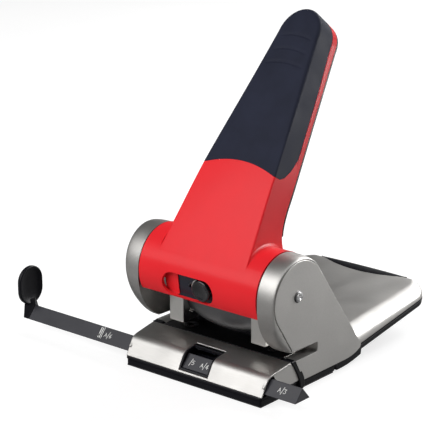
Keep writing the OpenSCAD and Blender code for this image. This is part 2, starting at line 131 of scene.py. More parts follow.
def metal(name, color, roughness, grain, stretch, strength=0.12):
    """Satin metal: fine grain stretched along the polishing direction, and a cloudy gloss."""
    mat, nodes, links, shader = principled(name, color, roughness, 1.0)
    lines = noise(nodes, links, grain, 4, stretch)
    cloud = noise(nodes, links, 45, 2)
    vary(nodes, links, cloud, shader.inputs["Roughness"], roughness - 0.04, roughness + 0.05)
    darker = tuple(c * 0.93 for c in color)
    tint(nodes, links, lines, shader.inputs["Base Color"], darker, color)
    bump(nodes, links, shader, lines, strength, 0.00008)
    return mat


def plastic(name, color, roughness, scale, strength, **sockets):
    """Moulded plastic or rubber: a fine texture and slightly uneven gloss."""
    mat, nodes, links, shader = principled(name, color, roughness, 0.0, **sockets)
    fine = noise(nodes, links, scale, 3)
    cloud = noise(nodes, links, 60, 2)
    vary(nodes, links, cloud, shader.inputs["Roughness"], roughness - 0.05, roughness + 0.06)
    darker = tuple(c * 0.8 for c in color)
    tint(nodes, links, cloud, shader.inputs["Base Color"], darker, color)
    bump(nodes, links, shader, fine, strength, 0.0001)
    return mat


def enamel(name, color):
    """Glossy enamel with a faint orange peel."""
    mat, nodes, links, shader = principled(name, color, 0.36, 0.0, Coat_Weight=0.05, Coat_Roughness=0.12,
                                           Specular_IOR_Level=0.14)
    peel = noise(nodes, links, 420, 2)
    cloud = noise(nodes, links, 30, 2)
    vary(nodes, links, cloud, shader.inputs["Roughness"], 0.31, 0.38)
    tint(nodes, links, cloud, shader.inputs["Base Color"], tuple(c * 0.95 for c in color), color)
    bump(nodes, links, shader, peel, 0.05, 0.00006)
    return mat


SILVER = (0.46, 0.45, 0.435)
MATS = {
    "cast_silver": metal("satin_silver_casting", SILVER, 0.47, 900, (1, 1, 1), 0.10),
    "silver_cover": metal("satin_silver_sheet", SILVER, 0.42, 260, (0.5, 9, 9), 0.10),
    "machined_steel": metal("machined_steel", (0.42, 0.42, 0.43), 0.38, 300, (0.6, 8, 1), 0.15),
    "polished_steel": metal("polished_steel", (0.70, 0.70, 0.70), 0.18, 500, (1, 1, 6), 0.05),
    "guide_steel": metal("bright_guide_steel", (0.70, 0.69, 0.66), 0.30, 300, (8, 1, 1), 0.10),
    "bronze": metal("sintered_bronze", (0.55, 0.36, 0.17), 0.42, 700, (1, 1, 1), 0.2),
    "black_plastic": plastic("satin_black_plastic", (0.006, 0.006, 0.009), 0.38, 900, 0.10,
                             Specular_IOR_Level=0.18),
    "grey_plastic": metal("grey_jaw_plate", (0.17, 0.17, 0.175), 0.46, 500, (1, 1, 1), 0.1),
    "foot_rubber": plastic("foot_rubber", (0.02, 0.02, 0.022), 0.8, 700, 0.4),
    "red_enamel": enamel("red_enamel", (0.86, 0.022, 0.030)),
    "grip_rubber": plastic("grip_rubber", (0.024, 0.027, 0.046), 0.55, 1300, 0.14, Specular_IOR_Level=0.07),
    "navy_enamel": plastic("navy_plate", (0.008, 0.010, 0.022), 0.3, 500, 0.05),
    "gloss_black": plastic("gloss_black_knob", (0.006, 0.006, 0.008), 0.22, 500, 0.03, Coat_Weight=0.4),
    "guide_plastic": plastic("guide_plastic", (0.040, 0.040, 0.048), 0.42, 1100, 0.12,
                             Specular_IOR_Level=0.35),
    # painted shade: near-black steel for the die plate, chassis, back stop and upper bridge, dark because
    # deep shade falls under the table and between the cheeks
    "painted_shade_steel": metal("painted_shade_steel", (0.045, 0.045, 0.05), 0.42, 400, (0.6, 8, 1), 0.15),
    "print": plastic("white_print", (0.85, 0.85, 0.83), 0.55, 900, 0.05),
}


# CAD nodes with their own material: near-black steel on four as painted shade, machined steel on the axle
CAD_FINISH_AND_SHADE = {"die_plate": "painted_shade_steel", "chassis": "painted_shade_steel", "back_stop": "painted_shade_steel",
              "upper_bridge": "painted_shade_steel", "axle": "machined_steel"}


def paint_cad_nodes():
    """Every CAD node keeps its shape and takes its slot's procedural material, or the listed one: near-black
    steel as painted shade, machined steel on the axle.
    """
    for entry in record["subparts"]:
        obj = frame["nodes"][entry["node"]]
        obj.data.materials.clear()
        obj.data.materials.append(MATS[CAD_FINISH_AND_SHADE.get(entry["node"], entry["material_slot"])])


# ---------------------------------------------------------------- mesh helpers (all in mm)
def arc(cy, cz, r, start, end, steps, rz=None):
    """Points of an arc, its angle in degrees from +Y towards +Z."""
    rz = rz or r
    return [(cy + r * cos(radians(start + (end - start) * i / steps)),
             cz + rz * sin(radians(start + (end - start) * i / steps))) for i in range(steps + 1)]


def piece(name, verts, faces, slot, body, *nodes, bevel=0.0, segments=2, angle=35, mat=None):
    bm = bmesh.new()
    made = [bm.verts.new(Vector(v) * MM) for v in verts]
    for f in faces:
        ids = [made[i] for i in f]
        if len(set(ids)) > 2:
            try:
                bm.faces.new(ids)
            except ValueError:
                pass
    bmesh.ops.remove_doubles(bm, verts=bm.verts, dist=0.01 * MM)
    bmesh.ops.dissolve_degenerate(bm, edges=bm.edges, dist=0.002 * MM)
    bmesh.ops.recalc_face_normals(bm, faces=bm.faces)
    mesh = bpy.data.meshes.new(name)
    bm.to_mesh(mesh)
    bm.free()
    obj = bpy.data.objects.new(name, mesh)
    bpy.context.collection.objects.link(obj)
    return dress(obj, slot, body, *nodes, bevel=bevel, segments=segments, angle=angle, mat=mat)


def dress(obj, slot, body, *nodes, bevel=0.0, segments=2, angle=35, mat=None):
    obj.data.materials.clear()
    obj.data.materials.append(mat or MATS[slot])
    for poly in obj.data.polygons:
        poly.use_smooth = True
    obj.data.set_sharp_from_angle(angle=radians(angle))
    if bevel:
        mod = obj.modifiers.new("edges", "BEVEL")
        mod.width = bevel * MM
        mod.segments = segments
        mod.limit_method = "ANGLE"
        mod.angle_limit = radians(angle)
        mod.use_clamp_overlap = True
    weighted = obj.modifiers.new("normals", "WEIGHTED_NORMAL")
    weighted.keep_sharp = True
    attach(obj, body)
    if nodes:
        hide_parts(*nodes)
    return obj


def grid_faces(rows, cols, offset=0, closed=False):
    faces = []
    for r in range(rows - 1):
        for c in range(cols if closed else cols - 1):
            n = (c + 1) % cols
            faces.append((offset + r * cols + c, offset + r * cols + n,
                          offset + (r + 1) * cols + n, offset + (r + 1) * cols + c))
    return faces


def loft(rings, closed=True, caps=(False, False)):
    """Rings of equal length joined into a skin, with flat caps if asked."""
    count = len(rings[0])
    verts = [p for ring in rings for p in ring]
    faces = grid_faces(len(rings), count, closed=closed)
    if caps[0]:
        faces.append(tuple(range(count)))
    if caps[1]:
        faces.append(tuple(range(len(verts) - count, len(verts))))
    return verts, faces


def prism(outline, low, high, place=lambda u, v, w: (w, u, v)):
    """Extrudes a closed outline. The default draws it as a side view (y, z), extruded along x."""
    rings = [[place(u, v, w) for u, v in outline] for w in (low, high)]
    return loft(rings, caps=(True, True))


def join(*parts):
    verts, faces = [], []
    for v, f in parts:
        faces += [tuple(i + len(verts) for i in face) for face in f]
        verts += v
    return verts, faces


def mirrored(part):
    verts, faces = part
    return [(-x, y, z) for x, y, z in verts], [tuple(reversed(f)) for f in faces]


def moved(part, matrix):
    verts, faces = part
    return [tuple(matrix @ Vector(v)) for v in verts], faces


def revolve(profile, steps=48):
    """Turns (radius, height) points about +Z."""
    rings = [[(r * cos(2 * pi * i / steps), r * sin(2 * pi * i / steps), h) for i in range(steps)]
             for r, h in profile]
    return loft(rings, caps=(True, True))


def smooth(t):
    t = min(max(t, 0.0), 1.0)
    return t * t * (3 - 2 * t)


def mix(a, b, t):
    return a + (b - a) * t


# ---------------------------------------------------------------- lever frame
LEAN = radians(37.3)


def in_lever(x, d, h):
    """Lever coordinates (across, along the handle, towards its front) to world mm, at rest."""
    return (x, AXLE_Y + d * sin(LEAN) - h * cos(LEAN), AXLE_Z + d * cos(LEAN) + h * sin(LEAN))


def at_angle(x, angle, r):
    """A point at an angle about the axle, measured from +Y towards +Z."""
    return (x, AXLE_Y + r * cos(radians(angle)), AXLE_Z + r * sin(radians(angle)))


GRIP_D = 74.5
SEAM_H = 10.0
TIP_D = 189.0
TIP_HALF = 19.0
TIP_LONG = 22.0
FACE_H = 32.4
REAR = [(0, -20), (22, -18.5), (27.2, -13.8), (34, -3.8), (40, 0.6), (45, 2.6), (51, 4.0), (60, 4.7),
        (190, 4.5), (200, 4.3), (207, 4.6), (213, 5.6)]


def table(points, d):
    for (d0, v0), (d1, v1) in zip(points, points[1:]):
        if d <= d1:
            return v0 + (v1 - v0) * (d - d0) / (d1 - d0)
    return points[-1][1]


def arm_half(d):
    return 42.2 - 0.105 * d if d < GRIP_D else 34.4 - 0.134 * (d - GRIP_D)


def front_h(d):
    """Front surface of the arm: tangent to the barrel, then rising to the grip."""
    return BARREL_R + (FACE_H - BARREL_R) * smooth(d / GRIP_D)


def seam_h(d):
    return SEAM_H + 1.4 * smooth((d - 150) / 40) + 2.0 * smooth((d - 196) / 20)


def grip_from(f):
    """Where the grip starts along the handle, for a place f (0 middle, 1 edge) on its front."""
    return GRIP_D + 6.5 * (1 - f * f)


def grip_side_from(t):
    """Where the grip starts on the side, from its front edge (0) to the seam (1)."""
    return GRIP_D + 24.0 * t ** 2.5


def tip_outline(g, f, columns, side):
    """One ring of the handle's plan: up the left side, round the tip, down the right side."""
    half, long = TIP_HALF - g, TIP_LONG - g
    left = [(-f * (arm_half(d) - g), d) for d in side]
    tip = [(f * half * cos(a), TIP_D + f * long * sin(a))
           for a in (pi - pi * i / columns for i in range(1, columns))]
    right = [(-x, d) for x, d in reversed(left)]
    return left + tip + right


def side_rows(start, fine_from=154, step=0.55):
    """Distances along the side: coarse on the plain stretch, fine where the grooves lie."""
    coarse = [mix(start, fine_from, i / 16) for i in range(16)]
    count = int((TIP_D - fine_from) / step)
    return coarse + [mix(fine_from, TIP_D, i / count) for i in range(count + 1)]


GROOVES = [(187.4, 15.2), (175.4, 15.6), (163.8, 18.2)]


def groove_depth(x, d):
    """Three arched finger grooves that fade out at their ends."""
    depth = 0.0
    for centre, half in GROOVES:
        if abs(x) < half:
            line = centre - 2.6 * (x / half) ** 2
            fade = (1 - (x / half) ** 2) ** 0.5
            across = d - line
            if -0.7 < across < 2.4:
                shape = 1 + across / 0.7 if across < 0 else (1 - across / 2.4) ** 1.5
                depth = max(depth, 0.75 * fade * shape)
    return depth


def build_grip():
    """Soft grip: sides down to the seam, a rounded edge, and a crowned front with finger grooves."""
    edge_start, edge_end = 1.3, 3.2
    crown = 0.5
    steps = [("side", t) for t in (1.0, 0.97, 0.75, 0.5, 0.25)]
    steps += [("edge", a) for a in (0, 15, 30, 45, 60, 75)]
    steps += [("face", 1 - i / 22) for i in range(23)]
    rings = []
    for kind, t in steps:
        f = t if kind == "face" else 1
        start = GRIP_D + 0.15
        if kind == "face":
            start = grip_from(f)
        elif kind == "side":
            start = grip_side_from(t)
        ring = []
        for x, d in tip_outline(edge_end if kind == "face" else 0, f, 20, side_rows(start)):
            r = mix(edge_start, edge_end, smooth((d - GRIP_D) / 90))
            if kind == "side":
                h = mix(FACE_H - r, seam_h(d) + 0.25, t)
                g = 0.15 * smooth((t - 0.9) * 10)
                ring.append(in_lever(x * (1 - g / 40), d, h))
            elif kind == "edge":
                g = r * (1 - cos(radians(t)))
                h = FACE_H - r + r * sin(radians(t))
                if d <= TIP_D:
                    ring.append(in_lever(math.copysign(arm_half(d) - g, x), d, h))
                else:
                    a = math.atan2((d - TIP_D) / TIP_LONG, x / TIP_HALF)
                    ring.append(in_lever((TIP_HALF - g) * cos(a), TIP_D + (TIP_LONG - g) * sin(a), h))
            else:
                if d <= TIP_D:
                    x = math.copysign(f * (arm_half(d) - r), x) if f else 0.0
                ring.append(in_lever(x, d, FACE_H + crown * (1 - f * f) - groove_depth(x, d)))
        rings.append(ring)
    return piece("grip_skin", *loft(rings, closed=False), "grip_rubber", "lever", "grip_pad", angle=50)


def build_arm():
    """Red arm: the side walls with their rear flange over the whole length, and the front up to the grip."""
    wall = 2.2
    rows = [i * 3.0 for i in range(8, 63)] + [TIP_D]
    rings = []
    for g, along in ((wall, 0.8), (wall, 0.0), (0.5, -0.12), (0.0, 0.5)):
        rings.append([in_lever(x, d, table(REAR, d) + along) for x, d in tip_outline(g, 1, 24, rows)])
    # the seam is a fine bead that turns in under the grip
    for g, along in ((0.0, -1.2), (-0.12, -0.7), (-0.12, -0.25), (0.2, 0.1), (0.6, 0.15), (2.5, 0.1)):
        ring = []
        for x, d in tip_outline(g, 1, 24, rows):
            plain = 1 - smooth((d - GRIP_D - 14) / 10)
            ring.append(in_lever(math.copysign(abs(x) + (g - 0.03) * plain, x), d, seam_h(d) + along))
        rings.append(ring)
    strip = loft(rings, closed=False)
    # front and upper sides, from the barrel to the grip
    count = 24
    bend = 1.5
    columns = [("side", t) for t in (1.0, 0.75, 0.5, 0.25, 0.0)]
    columns += [("edge", a) for a in (0, 18, 36, 54, 72)]
    columns += [("face", 1 - i / 12) for i in range(13)]
    lines = []
    for kind, t in columns:
        end = grip_from(t) if kind == "face" else grip_side_from(t) if kind == "side" else GRIP_D
        line = []
        for i in range(count + 1):
            d = mix(1.0, end - 0.12, i / count)
            top = front_h(d)
            half = arm_half(d)
            if kind == "side":
                line.append(in_lever(-half, d, mix(top - bend, SEAM_H, t)))
            elif kind == "edge":
                turn = radians(t)
                line.append(in_lever(-half + bend * (1 - cos(turn)), d, top - bend + bend * sin(turn)))
            else:
                crown = 0.5 * (1 - t * t) * smooth(d / GRIP_D)
                line.append(in_lever(-t * (half - bend), d, top + crown))
        lines.append(line)
    left = loft(lines, closed=False)
    return join(strip, left, mirrored(left))


def build_fillet():
    """Small concave blend where the arm's side runs down onto the barrel."""
    rings = []
    for i in range(37):
        theta = 86 - i * 3.1
        d = BARREL_R * cos(radians(theta))
        tall = front_h(d) / sin(radians(max(theta, 30))) - BARREL_R
        rf = max(min(2.4, 0.8 * tall) * smooth((theta + 12) / 22), 0.02)
        ring = []
        for j in range(7):
            phi = radians(15 * j)
            r = BARREL_R - 0.03 + rf * (1 - cos(phi))
            d, h = r * cos(radians(theta)), r * sin(radians(theta))
            ring.append(in_lever(arm_half(max(d, 0)) - 0.03 + rf * (1 - sin(phi)), d, h))
        rings.append(ring)
    part = loft(rings, closed=False)
    return join(part, mirrored(part))


WINDOW_ANGLE = 188
WINDOW_R = 9.4
WINDOW_X = (-33.5, 16.0)
BARREL_ANGLES = (25, 208)
BARREL_WALL = 2.5


def stadium(x0, x1, r, steps=16):
    right = [(x1 - r + r * sin(a), r * cos(a)) for a in (pi * i / steps for i in range(steps + 1))]
    left = [(x0 + r - r * sin(a), -r * cos(a)) for a in (pi * i / steps for i in range(steps + 1))]
    return right + left


def aimed(x, t, r, angle=WINDOW_ANGLE):
    """(across, tangential, radial) at an angle about the axle."""
    a = radians(angle)
    return (x, AXLE_Y + r * cos(a) - t * sin(a), AXLE_Z + r * sin(a) + t * cos(a))


def cut(obj, verts, faces):
    """Takes a mesh away from an object for good."""
    mesh = bpy.data.meshes.new("cutter")
    mesh.from_pydata([Vector(v) * MM for v in verts], [], faces)
    bm = bmesh.new()
    bm.from_mesh(mesh)
    bmesh.ops.recalc_face_normals(bm, faces=bm.faces)
    bm.to_mesh(mesh)
    bm.free()
    tool = bpy.data.objects.new("cutter", mesh)
    bpy.context.collection.objects.link(tool)
    mod = obj.modifiers.new("cut", "BOOLEAN")
    mod.object = tool
    mod.solver = "EXACT"
    bpy.context.view_layer.update()
    done = bpy.data.meshes.new_from_object(obj.evaluated_get(bpy.context.evaluated_depsgraph_get()))
    obj.modifiers.clear()
    obj.data = done
    bpy.data.objects.remove(tool)


def raw(name, verts, faces):
    mesh = bpy.data.meshes.new(name)
    mesh.from_pydata([Vector(v) * MM for v in verts], [], faces)
    bm = bmesh.new()
    bm.from_mesh(mesh)
    bmesh.ops.remove_doubles(bm, verts=bm.verts, dist=0.001 * MM)
    bmesh.ops.recalc_face_normals(bm, faces=bm.faces)
    bm.to_mesh(mesh)
    bm.free()
    obj = bpy.data.objects.new(name, mesh)
    bpy.context.collection.objects.link(obj)
    return obj


def build_barrel():
    start, end = BARREL_ANGLES
    steps = 92
    outer = [at_angle(0, mix(start, end, i / steps), BARREL_R)[1:] for i in range(steps + 1)]
    inner = [at_angle(0, mix(end, start, i / steps), BARREL_R - BARREL_WALL)[1:] for i in range(steps + 1)]
    obj = raw("barrel_shell", *prism(outer + inner, -BARREL_HALF, BARREL_HALF))
    cut(obj, *prism(stadium(*WINDOW_X, WINDOW_R), 20, 40, lambda u, v, w: aimed(u, v, w)))
    dress(obj, "red_enamel", "lever", "handle_shell", bevel=0.55, segments=3, angle=40)
    # end walls with the axle hubs, joined to the barrel inside
    rim = [at_angle(0, mix(start + 2, end - 2, i / 40), BARREL_R - 1)[1:] for i in range(41)]
    hub = [at_angle(0, mix(end, 360 + start, i / 12), 13)[1:] for i in range(13)]
    wall = prism(rim + hub, BARREL_HALF - 3, BARREL_HALF - 0.4)
    piece("barrel_end_walls", *join(wall, mirrored(wall)), "red_enamel", "lever", bevel=0.3)
    piece("handle_arm", *build_arm(), "red_enamel", "lever", angle=50)
    piece("arm_fillets", *build_fillet(), "red_enamel", "lever", angle=60)


def build_liner():
    """Black panel that closes the arm from behind, standing just proud of the red edge."""
    rows = [41 + i * 4.0 for i in range(37)] + [TIP_D]
    rings = []
    for g, along in ((2.9, 3.0), (0.7, 0.0), (0.35, -0.5), (0.3, -1.7), (0.8, -2.5), (2.0, -2.8), (5.0, -2.4),
                     (7.0, -0.6), (8.0, 0.2)):
        rings.append([in_lever(x, d, table(REAR, d) + along) for x, d in tip_outline(g, 1, 20, rows)])
    for f in (0.6, 0.2, 0.0):
        rings.append([in_lever(x, d, table(REAR, d) + 0.2) for x, d in tip_outline(8.0, f, 20, rows)])
    piece("arm_liner", *loft(rings, closed=False), "black_plastic", "lever", "handle_liner", angle=40)


def build_lock():
    """Lock behind the barrel's window: dark plate, round dished knob, and a bright steel crescent that is a
    painted highlight on the knob's glossy side.
    """
    knob_low, knob_high = mm_box("lock_knob")
    centre = (knob_low[0] + knob_high[0]) / 2
    r = (knob_high[0] - knob_low[0]) / 2
    base = 24.5
    profile = [(r - 0.5, 0), (r, 0.6), (r, 4.2), (r - 0.35, 4.9), (r - 1.1, 5.1)]
    profile += [((r - 1.1) * (1 - i / 10), 5.1 - 1.7 * (1 - (1 - i / 10) ** 2)) for i in range(1, 11)]
    origin = Vector(aimed(0, 0, 0))
    turn = Matrix([Vector(aimed(1, 0, 0)) - origin, Vector(aimed(0, 1, 0)) - origin,
                   Vector(aimed(0, 0, 1)) - origin]).transposed().to_4x4()
    put = Matrix.Translation(Vector(aimed(centre, 0, base))) @ turn
    piece("lock_button", *moved(revolve(profile[:-1]), put), "gloss_black", "lock", "lock_knob", angle=50)
    # painted highlight: a bright steel crescent round the knob stands in for the reflection on its glossy
    # black side
    ring = [(r + 0.25, 0), (r + 1.9, 0.0), (r + 1.9, 2.4), (r + 1.5, 2.7), (r + 0.25, 2.7)]
    steps = 24
    rings = []
    for i in range(steps + 1):
        a = radians(122 + 116 * i / steps)
        taper = sin(pi * i / steps) ** 0.6
        drawn = [(mix(r + 0.25, q, taper), h) for q, h in ring]
        rings.append([(q * cos(a), q * sin(a), h) for q, h in drawn])
    highlight_crescent = moved(loft(rings, closed=True, caps=(True, True)), put)
    piece("lock_painted_highlight", *highlight_crescent, "guide_steel", "lock", angle=50)
    high = WINDOW_R + 1.6
    pocket = [(WINDOW_X[0] - 1, -high), (WINDOW_X[0] - 1, high), (-22.5, high)]
    pocket += [(-27.5 + high * sin(a), high * cos(a)) for a in (pi * i / 16 for i in range(1, 16))]
    pocket += [(-22.5, -high)]
    floor = prism(pocket, base - 0.2, base + 0.5, lambda u, v, w: aimed(min(u, -21.8), v, w))
    piece("window_pocket", *floor, "red_enamel", "lever")


# ---------------------------------------------------------------- cheeks
HEEL = (73.7, 15.0)
FOOT_Z = mm_box("right_cheek")[0][2]
JAW_Z = 34.0
SLOT_END = 17.2
BAND_TOP = (-12.6, -9.1)
BAND_LOW = (-1.5, 2.1)


def foot(y):
    """Lower edge of a cheek."""
    return FOOT_Z if y < SWEEP_Y else FOOT_Z + 0.00038 * (y - SWEEP_Y) ** 3


def outer_x(z):
    """The outer face leans in a little towards the base."""
    return CHEEK_OUT - 0.7 + 0.055 * (z - AXLE_Z)


def cheek_outline(head_r, front):
    """Closed side view: head, rear edge, heel, bottom, band edge, slot; front is the lower front curve."""
    reach = (HEEL[0] - AXLE_Y, HEEL[1] - AXLE_Z)
    bearing = math.degrees(math.atan2(reach[1], reach[0]))
    tangent = bearing + math.degrees(math.acos(head_r / math.hypot(*reach)))
    head = arc(AXLE_Y, AXLE_Z, head_r, 180, tangent, 40)
    rear = [(mix(head[-1][0], HEEL[0], i / 8), mix(head[-1][1], HEEL[1], i / 8)) for i in range(1, 9)]
    rest = [(y, foot(y)) for y in (73.2, 71.5, 69.5, 67, 64, 61, 58, 55, 52, 48, 30)]
    rest += [(BAND_LOW[1], FOOT_Z), (BAND_TOP[1], PAPER_Z - 0.1)]
    rest += [(SLOT_END - 0.8, PAPER_Z - 0.1), (SLOT_END, PAPER_Z + 0.7), (SLOT_END, JAW_Z - 0.8),
             (SLOT_END - 0.8, JAW_Z)]
    return front + head + rear + rest, len(front) + len(head) - 1


def lower_front_inner(steps):
    pts = arc(2.6, 73, 43.3, 242, 183, steps)
    return [(y, max(z, JAW_Z)) for y, z in pts]


def lower_front_outer(head_r, steps):
    """From the slot's front corner straight up to where the head's circle starts, then round it."""
    corner = (-14.0, JAW_Z)
    reach = (corner[0] - AXLE_Y, corner[1] - AXLE_Z)
    bearing = math.degrees(math.atan2(reach[1], reach[0]))
    touch = bearing - math.degrees(math.acos(head_r / math.hypot(*reach)))
    ty, tz = AXLE_Y + head_r * cos(radians(touch)), AXLE_Z + head_r * sin(radians(touch))
    straight = steps // 2
    line = [(mix(corner[0], ty, i / straight), mix(corner[1], tz, i / straight)) for i in range(straight)]
    return line + arc(AXLE_Y, AXLE_Z, head_r, touch % 360, 183, steps - straight)


def build_cheek(side):
    steps = 20
    inner, last = cheek_outline(30.1, lower_front_inner(steps))
    crease, last = cheek_outline(28.3, lower_front_outer(28.3, steps))
    count = len(inner)
    power = 2.4
    rings = [[(CHEEK_IN + 0.5, y * 0.995 + AXLE_Y * 0.005, z * 0.995 + AXLE_Z * 0.005) for y, z in inner]]
    for t in (0, 12, 24, 36, 48, 58, 68, 78, 90):
        p, q = cos(radians(t)) ** (2 / power), sin(radians(t)) ** (2 / power)
        if t == 90:
            p = 0
        ring = []
        for (yi, zi), (yo, zo) in zip(inner, crease):
            y, z = mix(yo, yi, p), mix(zo, zi, p)
            ring.append((mix(CHEEK_IN, outer_x(zo), q), y, z))
        rings.append(ring)

    def inset(amount, depth):
        """The crease outline drawn in towards the axle along the rounded front, and pushed in by depth."""
        ring = []
        for k, (y, z) in enumerate(crease):
            on = k <= last
            nxt, prv = crease[(k + 1) % count], crease[k - 1]
            ty, tz = nxt[0] - prv[0], nxt[1] - prv[1]
            size = math.hypot(ty, tz) or 1
            g = amount if on else 0.0
            fade = smooth((last - k) / 5) * smooth((k + 1) / 2) if on else 0.0
            move = g * fade / size
            ring.append((outer_x(z) - depth * fade, y + move * tz, z - move * ty))
        return ring

    rings += [inset(0.15, 1.3), inset(1.0, 1.3), inset(1.15, 0.25), inset(1.6, 0.0)]
    part = loft(rings, caps=(True, True))
    if side == "left":
        part = mirrored(part)
    piece(side + "_cheek_casting", *part, "cast_silver", "frame", side + "_cheek", bevel=0.35, angle=42)


def build_axle_ends():
    """Round rivet heads on the outer faces, each over a thin black disc that is painted shade for the recess
    round the head.
    """
    x = outer_x(AXLE_Z)
    for side, sign in (("left", -1), ("right", 1)):
        turn = Matrix.Rotation(radians(90), 4, "Y")
        put = Matrix.Translation((x - 0.5, AXLE_Y, AXLE_Z)) @ turn
        head = revolve([(3.4, 0), (3.5, 1.9), (3.1, 2.5), (2.0, 2.8), (1.3, 2.45), (0.5, 2.2)])
        # painted shade: a thin black disc under the head, standing in for the shaded recess round it
        dark = revolve([(4.7, 0), (4.7, 0.58), (4.5, 0.62), (3.6, 0.62)])
        for label, part, slot in (("rivet", head, "polished_steel"), ("painted_recess_shade", dark, "black_plastic")):
            made = moved(part, put)
            if sign < 0:
                made = mirrored(made)
            piece(f"{side}_axle_{label}", *made, slot, "frame", angle=40)


# ---------------------------------------------------------------- front table
COVER_SHEET = 1.5
COVER_FRONT = (-46.0, 7.7)
COVER_BEND_START = (8.0, 13.9)
COVER_RAMP_START = (-37.0, 22.0)
COVER_BEND_R = 9.0
COVER_HALF = 67
WINDOW_HALF = 14.2
WINDOW_BACK = -24.5


def cover_half(y):
    return mix(BASE_HALF, BASE_HALF + 1.2, smooth((y + 46) / 34))


def cover_profile(g=0.0):
    """Front cover, side view from its lower front edge over the soft bend to the back."""
    front, r = COVER_FRONT, COVER_BEND_R
    top = (-12.8, PAPER_Z - 0.25)
    lean = math.atan2(COVER_BEND_START[1], COVER_BEND_START[0])
    ramp = math.atan2(top[1] - COVER_RAMP_START[1], top[0] - COVER_RAMP_START[0])
    nf = (sin(lean), -cos(lean))
    nt = (sin(ramp), -cos(ramp))
    # the front line and the top line, both moved in by r along their normals, meet at the centre
    ax, az = front[0] + nf[0] * r, front[1] + nf[1] * r
    bx, bz = top[0] + nt[0] * r, top[1] + nt[1] * r
    det = cos(lean) * -sin(ramp) + sin(lean) * cos(ramp)
    s = ((bx - ax) * -sin(ramp) + (bz - az) * cos(ramp)) / det
    cy, cz = ax + s * cos(lean), az + s * sin(lean)
    start = math.degrees(lean) + 90
    end = math.degrees(ramp) + 90
    bend = arc(cy, cz, r - g, start, end, 14)
    first = (front[0] + nf[0] * g, front[1])
    a = [(mix(first[0], bend[0][0], i / 6), mix(first[1], bend[0][1], i / 6)) for i in range(6)]
    last = (top[0] + nt[0] * g, top[1] + nt[1] * g)
    b = [(mix(bend[-1][0], last[0], i / 10), mix(bend[-1][1], last[1], i / 10)) for i in range(1, 11)]
    return a + bend + b


def build_front_cover():
    outer, inner = cover_profile(), cover_profile(COVER_SHEET)
    rows = len(outer)
    window_rows = (1, next(i for i, p in enumerate(outer) if p[0] > WINDOW_BACK))
    jamb = WINDOW_HALF / COVER_HALF
    stops = [-1.0, -0.97, -0.6, -jamb, jamb, 0.6, 0.97, 1.0]
    verts, faces = [], []
    cols = len(stops)
    for skin in (outer, inner):
        for y, z in skin:
            for s in stops:
                half = cover_half(y)
                x = math.copysign(WINDOW_HALF, s) if abs(s) == jamb else s * half
                verts.append((x, y, z))
    size = rows * cols
    hole_cols = (3, 4)

    def index(layer, r, c):
        return layer * size + r * cols + c

    def is_hole(r, c):
        return window_rows[0] <= r < window_rows[1] and c == hole_cols[0]

    for r in range(rows - 1):
        for c in range(cols - 1):
            if is_hole(r, c):
                continue
            for layer in (0, 1):
                faces.append((index(layer, r, c), index(layer, r, c + 1),
                              index(layer, r + 1, c + 1), index(layer, r + 1, c)))
            for dr, dc, ends in ((-1, 0, ((r, c), (r, c + 1))), (1, 0, ((r + 1, c), (r + 1, c + 1))),
                                 (0, -1, ((r, c), (r + 1, c))), (0, 1, ((r, c + 1), (r + 1, c + 1)))):
                nr, nc = r + dr, c + dc
                open_side = nr < 0 or nr >= rows - 1 or nc < 0 or nc >= cols - 1 or is_hole(nr, nc)
                if open_side:
                    (r0, c0), (r1, c1) = ends
                    faces.append((index(0, r0, c0), index(0, r1, c1), index(1, r1, c1), index(1, r0, c0)))
    piece("table_cover", verts, faces, "silver_cover", "frame", "front_table_cover",
          bevel=0.5, segments=3, angle=45)
    # side walls, cut out round the guide bar
    profile = cover_profile(0.4)
    top = [(y, z) for y, z in profile if z > 12]
    notch = [(BAR_LOW[1] + 0.4, 14.6), (-36.6, 21.4), (-33.0, 21.8), (-28.4, 15.4), (-23.4, 12.2),
             (-21.0, 11.4)]
    outline = top + [(BAND_TOP[0], PAPER_Z - 0.4), (BAND_LOW[0], 8.6), (-18, 8.6)] + list(reversed(notch))
    half = cover_half(-30)
    wall = prism(outline, half - 2.2, half - 0.35)
    verts = [(x + cover_half(y) - half, y, z) for x, y, z in wall[0]]
    wall = (verts, wall[1])
    piece("table_sides", *join(wall, mirrored(wall)), "silver_cover", "frame", bevel=0.3, segments=2)


def build_bezel():
    """Black window frame with a lighter inner edge, following the bend of the cover."""
    outer, deep = cover_profile(0.25), cover_profile(2.9)
    rows = [i for i, p in enumerate(outer) if i >= 1 and p[0] < WINDOW_BACK + 1]
    edge = 1.5
    parts = []
    for x0, x1 in ((-WINDOW_HALF, edge - WINDOW_HALF), (WINDOW_HALF - edge, WINDOW_HALF)):
        rings = [[(x0, *outer[i]), (x1, *outer[i]), (x1, *deep[i]), (x0, *deep[i])] for i in rows]
        parts.append(loft(rings, caps=(True, True)))
    ends = ((rows[0], 1), (rows[-1], -1))
    for i, step in ends:
        j = i + step
        t = 0.9
        near = (mix(outer[i][0], outer[j][0], t), mix(outer[i][1], outer[j][1], t))
        low = [near, deep[j], deep[i], outer[i]]
        parts.append(prism(low, edge - WINDOW_HALF - 0.1, WINDOW_HALF - edge + 0.1))
    # scalloped shutter at the back of the window
    back = outer[rows[-1]]
    scallop = [(-WINDOW_HALF + edge, back[0] + 0.5), (WINDOW_HALF - edge, back[0] + 0.5)]
    wave = [(x, back[0] - 2.4 + 1.8 * cos(pi * x / 9) * (abs(x) < 9)) for x in
            [mix(WINDOW_HALF - edge, edge - WINDOW_HALF, i / 24) for i in range(25)]]
    parts.append(prism(scallop + wave, back[1] - 2.2, back[1] - 1.0, lambda u, v, w: (u, v, w)))
    piece("window_frame", *join(*parts), "black_plastic", "frame", "window_bezel", bevel=0.25, segments=2)


